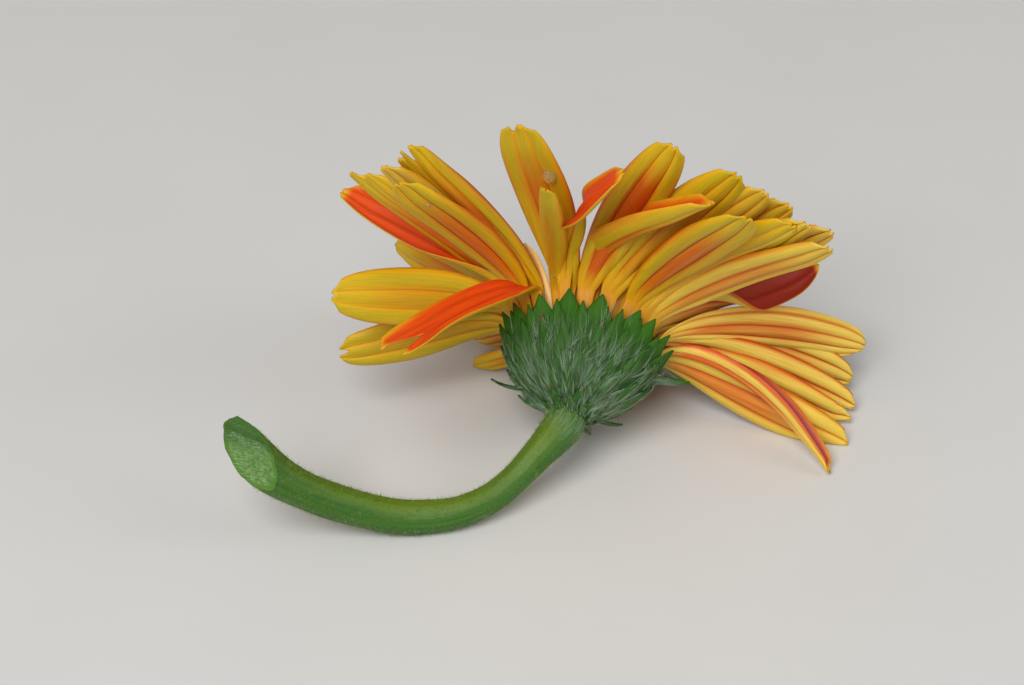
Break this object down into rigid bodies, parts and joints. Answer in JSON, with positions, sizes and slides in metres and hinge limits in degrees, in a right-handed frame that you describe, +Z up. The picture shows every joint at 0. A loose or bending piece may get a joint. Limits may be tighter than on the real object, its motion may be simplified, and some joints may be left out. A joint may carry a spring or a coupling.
{
  "type": "cut daisy flower",
  "caption": "Cut daisy bloom of the gerbera kind lying on its side, with a woolly green involucre, strap petals and a short bent stem with a slanting cut.",
  "frame": {"origin": "on the surface that the flower lies on, below the middle of its box", "axes": "+Z up from the surface, +X towards the side away from the cut stem end, +Y the way the bloom faces; the involucre and the backs of the petals show from -Y"},
  "size_m": [0.0956, 0.0709, 0.0591],
  "materials": {
    "stem_green": "satin",
    "woolly_green": "matte",
    "petal_yellow": "satin",
    "floret_cream": "satin",
    "disc_gold": "matte"
  },
  "bodies": {
    "root": {"stem": "stem_green", "involucre": "woolly_green", "ray_petals": "petal_yellow", "inner_florets": "floret_cream", "disc_florets": "disc_gold"}
  },
  "joints": []
}
